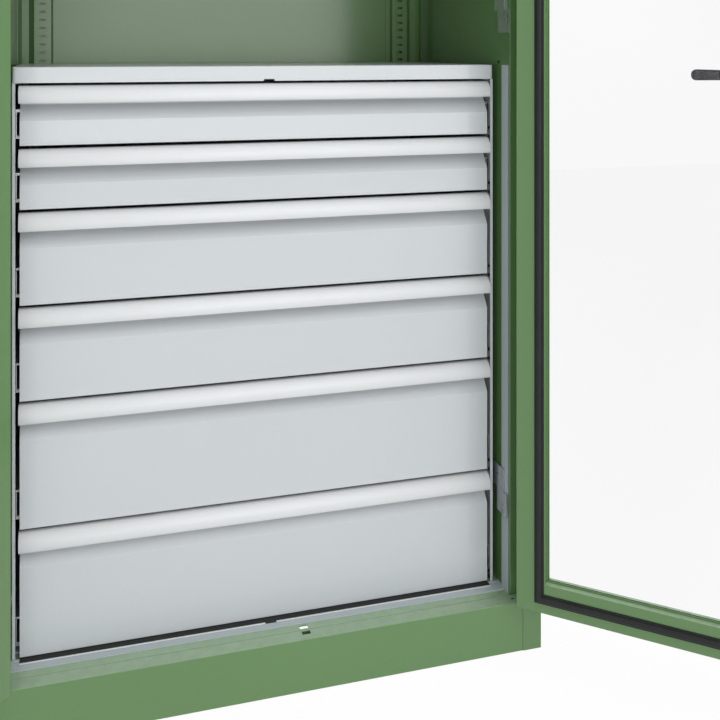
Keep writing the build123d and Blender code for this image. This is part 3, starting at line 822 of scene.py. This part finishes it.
class CABINET_OT_fit_sill(bpy.types.Operator):
    """Fit the black strip under the lowest drawer, which paints the shade behind the trim's lip, and the
    bright cap that paints the highlight on the lip's edge
    """

    bl_idname = "cabinet.fit_sill"
    bl_label = "Fit sill"

    # the strip: its wall, how far it reaches under the front, its height over the trim, how far its
    # rounded front edge stays behind the lip, and where that edge ends, behind the lip and over the trim
    STRIP_WALL = 0.0006
    STRIP_UNDER = 0.004
    STRIP_TOP = 0.0012
    STRIP_BACK = 0.0036
    STRIP_END = (0.0032, 0.0001)
    # the block that fills the notch: how far it reaches behind the lip, its height and its round
    FILL_BACK = 0.004
    FILL_TOP = 0.0007
    FILL_ROUND = 0.0002
    # the cap: its wall and how far it stands off the lip, its height over the lip, the round of its
    # two bends, and how far its front and its rear end over the trim
    CAP_WALL = 0.0003
    CAP_RISE = 0.0002
    CAP_ROUND = 0.0004
    CAP_ENDS = (0.0003, 0.0009)

    def execute(self, context):
        sizes = context.scene.cabinet_sizes
        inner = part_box("housing_side_right")[0].x
        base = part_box("front_trim")[0].z + sizes.trim_sheet
        lip = POST_FRONT + sizes.lip_set
        end = lip + sizes.trim_sheet
        notch = sizes.notch_half
        self.lay_shade_strip(inner, base, lip, end, notch)
        self.lay_highlight_cap(inner, base, lip, end, notch, base + sizes.lip_height + self.CAP_RISE)
        return {"FINISHED"}

    def lay_shade_strip(self, inner, base, lip, end, notch):
        """The black strip from under the lowest front to just behind the lip, with the notch's filling:
        painted shade where the lip and the drawer above keep the light out.
        """
        top = base + self.STRIP_TOP
        edge = (end + self.STRIP_BACK, top)
        end_back, end_rise = self.STRIP_END
        start = (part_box("drawer_6_front")[0].y + self.STRIP_UNDER, top)
        bm = bmesh.new()
        path = [start, edge, (end + end_back, base + end_rise)]
        folded_strip(bm, path, -inner, inner, [(edge, self.STRIP_WALL, 3)], self.STRIP_WALL)
        filling = (notch, end + self.FILL_BACK, base + self.FILL_TOP)
        softened_block(bm, (-notch, lip, base), filling, self.FILL_ROUND)
        finish_piece("sill_strip", bm, "seal_rubber", "carcass")

    def lay_highlight_cap(self, inner, base, lip, end, notch, top):
        """The bright cap over the lip, on both sides of its notch; its brighter coat paints the highlight on
        the lip's lit edge.
        """
        front, rear = lip - self.CAP_WALL, end + self.CAP_WALL
        front_end, rear_end = self.CAP_ENDS
        bm = bmesh.new()
        for start, stop in ((-inner, -notch), (notch, inner)):
            path = [(front, base + front_end), (front, top), (rear, top), (rear, base + rear_end)]
            bends = [(corner, self.CAP_ROUND, 4) for corner in path[1:3]]
            folded_strip(bm, path, start, stop, bends, self.CAP_WALL)
        finish_piece("sill_cap", bm, "grip_coat", "carcass")


class CABINET_OT_fit_buffers(bpy.types.Operator):
    """Fit the black buffers that stop the drawers, in the housing beside each front"""

    bl_idname = "cabinet.fit_buffers"
    bl_label = "Fit buffers"

    # a buffer's outline as (radius, height) points, and its faces
    SHAPE = ((0, 0), (0.0025, 0), (0.0025, 0.0022), (0.0021, 0.0031), (0.0012, 0.0036), (0, 0.0036))
    STEPS = 16
    # the heights of a pair over the low edge of its front, and the least height over the trim's low edge
    RISES = (-0.0055, 0.0102)
    LEAST_RISE = 0.0046

    def execute(self, context):
        sizes = context.scene.cabinet_sizes
        floor_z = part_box("front_trim")[0].z + self.LEAST_RISE
        for side, sign in SIDES.items():
            low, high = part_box(f"housing_side_{side}")
            web = max(abs(low.x), abs(high.x)) - sizes.housing_sheet
            at_y = low.y + sizes.buffer_in
            bm = bmesh.new()
            for number in DRAWERS:
                front_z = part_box(f"drawer_{number}_front")[0].z
                for rise in self.RISES:
                    at = (sign * web, at_y, max(front_z + rise, floor_z))
                    turned(bm, self.SHAPE, at, (-sign, 0, 0), self.STEPS)
            finish_piece(f"buffers_{side}", bm, "seal_rubber", "carcass")
        return {"FINISHED"}


class CABINET_OT_fit_lock(bpy.types.Operator):
    """Mould the swivel handle with its key cylinder, and the plate behind it"""

    bl_idname = "cabinet.fit_lock"
    bl_label = "Fit lock"

    # the rounds of the plate's corners and of its front rim
    PLATE_CORNER = 0.006
    PLATE_RIM = 0.0015
    # the lever: half its height, its thickness, the share of its height at the hub, the round of its
    # free end as a share of half its height, and the round of its rim
    LEVER_HALF = 0.012
    LEVER_THICK = 0.009
    LEVER_TAPER = 0.78
    LEVER_END = 0.9
    LEVER_RIM = 0.0016
    # outlines of what is turned about the axis, as (radius, depth behind the lever's front) points
    HUB = (
        (0, 0.0005), (0.0105, 0.0005), (0.0125, 0.0012), (0.0132, 0.0025), (0.0132, 0.016),
        (0.0142, 0.0185), (0.0142, 0.0208), (0, 0.0208),
    )
    SPINDLE = ((0, 0.0205), (0.005, 0.0205), (0.005, 0.0295), (0, 0.0295))
    BARREL = ((0, -0.0003), (0.0062, -0.0003), (0.0068, 0.0), (0.0068, 0.0012), (0, 0.0012))
    # the cam at the spindle's end: half its width and height, its thickness and its round
    CAM_HALF = (0.005, 0.009)
    CAM_THICK = 0.003
    CAM_ROUND = 0.0006
    # the keyway's bar: half its width and height, its front and back before the barrel, and its round
    KEYWAY_HALF = (0.0009, 0.0042)
    KEYWAY_DEPTHS = (0.0005, 0.0001)
    KEYWAY_ROUND = 0.0001

    def execute(self, context):
        turn = door_turn("right")
        axis = turn.inverted() @ Vector(JOINTS["lock_swivel"]["pos_m"])
        low, high = closed_box("lock_handle", "right")
        outer = Vector((axis.x, low.y, axis.z))
        plate = self.mould_plate()
        lever = self.mould_lever(axis, outer, low, high)
        cylinder = self.turn_cylinder(outer)
        pieces = (
            ("swivel_plate", plate, "lock_plastic", "door_right", ("lock_plate",)),
            ("swivel_lever", lever, "lock_plastic", "lock_handle", ("lock_handle",)),
            ("key_cylinder", cylinder, "zinc_plated_steel", "lock_handle", ()),
        )
        for name, bm, finish, body, replaced in pieces:
            bmesh.ops.transform(bm, matrix=turn, verts=bm.verts[:])
            finish_piece(name, bm, finish, body, replaced)
        return {"FINISHED"}

    def mould_plate(self):
        """The plate with its round corners and a soft front rim."""
        low, high = closed_box("lock_plate", "right")
        bm = bmesh.new()
        softened_block(bm, low, high)
        round_edges(bm, [edge for edge in bm.edges if runs_deep(edge)], self.PLATE_CORNER, 8)
        rim = [edge for edge in bm.edges if all(abs(v.co.y - low.y) < CLOSE for v in edge.verts)]
        round_edges(bm, rim, self.PLATE_RIM, 4)
        return bm

    def mould_lever(self, axis, outer, low, high):
        """A tapered bar, thicker at its free end, with its hub, and the spindle and cam inside the stile."""
        half = min(axis.x - low.x, self.LEVER_HALF)
        bm = bmesh.new()
        softened_block(
            bm, (axis.x, low.y, axis.z - half), (high.x, low.y + self.LEVER_THICK, axis.z + half),
        )
        middle = (axis.x + high.x) / 2
        near = [vert for vert in bm.verts if vert.co.x < middle]
        bmesh.ops.scale(bm, vec=(1, 1, self.LEVER_TAPER), space=Matrix.Translation(-axis), verts=near)
        ends = [edge for edge in bm.edges if runs_deep(edge) and all(v.co.x > middle for v in edge.verts)]
        round_edges(bm, ends, half * self.LEVER_END, 10)
        round_edges(bm, sharp_edges(bm, 50), self.LEVER_RIM, 3)
        turned(bm, self.HUB, outer, (0, 1, 0), 40)
        turned(bm, self.SPINDLE, outer, (0, 1, 0), 24)
        across, up = self.CAM_HALF
        softened_block(
            bm, (axis.x - across, high.y - self.CAM_THICK, axis.z - up),
            (axis.x + across, high.y, axis.z + up), self.CAM_ROUND,
        )
        return bm

    def turn_cylinder(self, outer):
        """The key cylinder's face in the hub, with its keyway."""
        bm = bmesh.new()
        turned(bm, self.BARREL, outer, (0, 1, 0), 32)
        across, up = self.KEYWAY_HALF
        front, back = self.KEYWAY_DEPTHS
        softened_block(
            bm, (outer.x - across, outer.y - front, outer.z - up),
            (outer.x + across, outer.y - back, outer.z + up), self.KEYWAY_ROUND,
        )
        return bm


class CABINET_OT_set_feet(bpy.types.Operator):
    """Set a moulded pad under each levelling screw"""

    bl_idname = "cabinet.set_feet"
    bl_label = "Set feet"

    # how far the middle of a foot lies from the ends of the feet's box
    REACH = 0.0155
    # a pad's outline as (radius, height) points
    PAD = (
        (0, 0.0), (0.0105, 0.0), (0.0122, 0.0007), (0.0125, 0.0022), (0.0112, 0.0038),
        (0.0095, 0.0043), (0, 0.0044),
    )

    def execute(self, context):
        low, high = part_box("levelling_feet")
        bm = bmesh.new()
        for x in (low.x + self.REACH, high.x - self.REACH):
            for y in (low.y + self.REACH, high.y - self.REACH):
                turned(bm, self.PAD, (x, y, 0), (0, 0, 1), 40)
        finish_piece("foot_pads", bm, "seal_rubber", "carcass")
        return {"FINISHED"}


class CABINET_OT_set_stage(bpy.types.Operator):
    """Set the floor, the lamps, the surroundings and the camera"""

    bl_idname = "cabinet.set_stage"
    bl_label = "Set stage"

    # each lamp's place as (across, before the posts, height), the height it looks at, and its size
    LAMPS = {
        "key": ((0.9, 4.2, 1.9), 0.7, 3.0),
        "top": ((0.9, 2.1, 3.9), 0.5, 4.0),
        "fill": ((-0.7, 3.0, 0.35), 0.6, 1.5),
    }
    # the floor's size, its paint, and how much of what is seen of it is plain white
    FLOOR_SIZE = 6.0
    FLOOR_PAINT = {"Base Color": (0.86, 0.86, 0.86, 1), "Roughness": 0.9, "Specular IOR Level": 0.1}
    FLOOR_WHITE = 0.96

    def execute(self, context):
        stage = context.scene.cabinet_stage
        self.lay_floor()
        self.light_surroundings(context.scene, stage)
        for kind, ((across, before, height), aim, size) in self.LAMPS.items():
            place = (across, POST_FRONT - before, height)
            self.hang_lamp(f"{kind}_lamp", place, (0.0, 0.0, aim), size, getattr(stage, kind))
        data = bpy.data.cameras.new("camera")
        data.sensor_width = 36.0
        data.lens = stage.lens
        data.shift_y = stage.horizon
        camera = bpy.data.objects.new("camera", data)
        camera.location = (stage.camera_x, POST_FRONT - stage.camera_back, stage.camera_height)
        camera.rotation_euler = (radians(90), 0, -stage.camera_turn)
        context.scene.collection.objects.link(camera)
        context.scene.camera = camera
        context.scene.view_settings.view_transform = "Standard"
        return {"FINISHED"}

    @staticmethod
    def seen_rays(tree):
        """1 for rays that show a thing to the camera, in a gloss or through glass."""
        path = node(tree, "ShaderNodeLightPath")
        first = maths(tree, "MAXIMUM", path.outputs["Is Camera Ray"], path.outputs["Is Glossy Ray"])
        return maths(tree, "MAXIMUM", first, path.outputs["Is Transmission Ray"])

    def lay_floor(self):
        """A pale floor that shows white and still takes the cupboard's shadow."""
        bm = bmesh.new()
        bmesh.ops.create_grid(bm, x_segments=1, y_segments=1, size=self.FLOOR_SIZE)
        mesh = bpy.data.meshes.new("floor")
        bm.to_mesh(mesh)
        bm.free()
        floor = bpy.data.objects.new("floor", mesh)
        bpy.context.scene.collection.objects.link(floor)
        made = bpy.data.materials.new("pale_floor")
        made.use_nodes = True
        tree = made.node_tree
        principled = tree.nodes["Principled BSDF"]
        for label, value in self.FLOOR_PAINT.items():
            principled.inputs[label].default_value = value
        glow = node(tree, "ShaderNodeEmission", Color=(1, 1, 1, 1), Strength=1.0)
        share = maths(tree, "MULTIPLY", self.seen_rays(tree), self.FLOOR_WHITE)
        shown = node(
            tree, "ShaderNodeMixShader", _0=share, _1=principled.outputs[0], _2=glow.outputs[0],
        )
        tree.links.new(shown.outputs[0], tree.nodes["Material Output"].inputs["Surface"])
        mesh.materials.append(made)

    def light_surroundings(self, scene, stage):
        """Even light from all round, white where it is seen."""
        world = bpy.data.worlds.new("surroundings")
        scene.world = world
        world.use_nodes = True
        tree = world.node_tree
        sky = tree.nodes["Background"]
        strength = spread(tree, self.seen_rays(tree), stage.sky, 1.0, start=0.0, end=1.0)
        sky.inputs["Color"].default_value = (1, 1, 1, 1)
        tree.links.new(strength, sky.inputs["Strength"])

    @staticmethod
    def hang_lamp(name, place, target, size, power):
        """A square soft lamp that looks at a target."""
        data = bpy.data.lights.new(name, "AREA")
        data.shape = "SQUARE"
        data.size = size
        data.energy = power
        lamp = bpy.data.objects.new(name, data)
        # gloss shows only the key lamp and the even surroundings
        lamp.visible_glossy = name == "key_lamp"
        lamp.location = place
        lamp.rotation_euler = (Vector(target) - Vector(place)).to_track_quat("-Z", "Y").to_euler()
        bpy.context.scene.collection.objects.link(lamp)


OPERATORS = (
    CABINET_OT_paint_carcass,
    CABINET_OT_paint_drawer_block,
    CABINET_OT_plate_fittings,
    CABINET_OT_glaze_doors,
    CABINET_OT_roll_handles,
    CABINET_OT_fit_seals,
    CABINET_OT_fit_hinge_screws,
    CABINET_OT_fit_sill,
    CABINET_OT_fit_buffers,
    CABINET_OT_fit_lock,
    CABINET_OT_set_feet,
    CABINET_OT_set_stage,
)


class CABINET_PT_tools(bpy.types.Panel):
    """The cupboard's settings and the steps that make it"""

    bl_label = "Drawer cabinet"
    bl_idname = "CABINET_PT_tools"
    bl_space_type = "VIEW_3D"
    bl_region_type = "UI"
    bl_category = "Drawer cabinet"

    def draw(self, context):
        scene = context.scene
        for settings in (scene.cabinet_colours, scene.cabinet_sizes, scene.cabinet_stage):
            box = self.layout.box()
            for name in settings.__annotations__:
                box.prop(settings, name)
        for operator in OPERATORS:
            self.layout.operator(operator.bl_idname)


SETTINGS = {
    "cabinet_colours": CabinetColours,
    "cabinet_sizes": CabinetSizes,
    "cabinet_stage": CabinetStage,
}


def register():
    for group in SETTINGS.values():
        bpy.utils.register_class(group)
    for operator in OPERATORS:
        bpy.utils.register_class(operator)
    bpy.utils.register_class(CABINET_PT_tools)
    for name, group in SETTINGS.items():
        setattr(bpy.types.Scene, name, PointerProperty(type=group))


def unregister():
    for name in SETTINGS:
        delattr(bpy.types.Scene, name)
    bpy.utils.unregister_class(CABINET_PT_tools)
    for operator in reversed(OPERATORS):
        bpy.utils.unregister_class(operator)
    for group in reversed(list(SETTINGS.values())):
        bpy.utils.unregister_class(group)


def main():
    register()
    for operator in OPERATORS:
        family, step = operator.bl_idname.split(".")
        getattr(getattr(bpy.ops, family), step)()


if __name__ == "__main__":
    main()
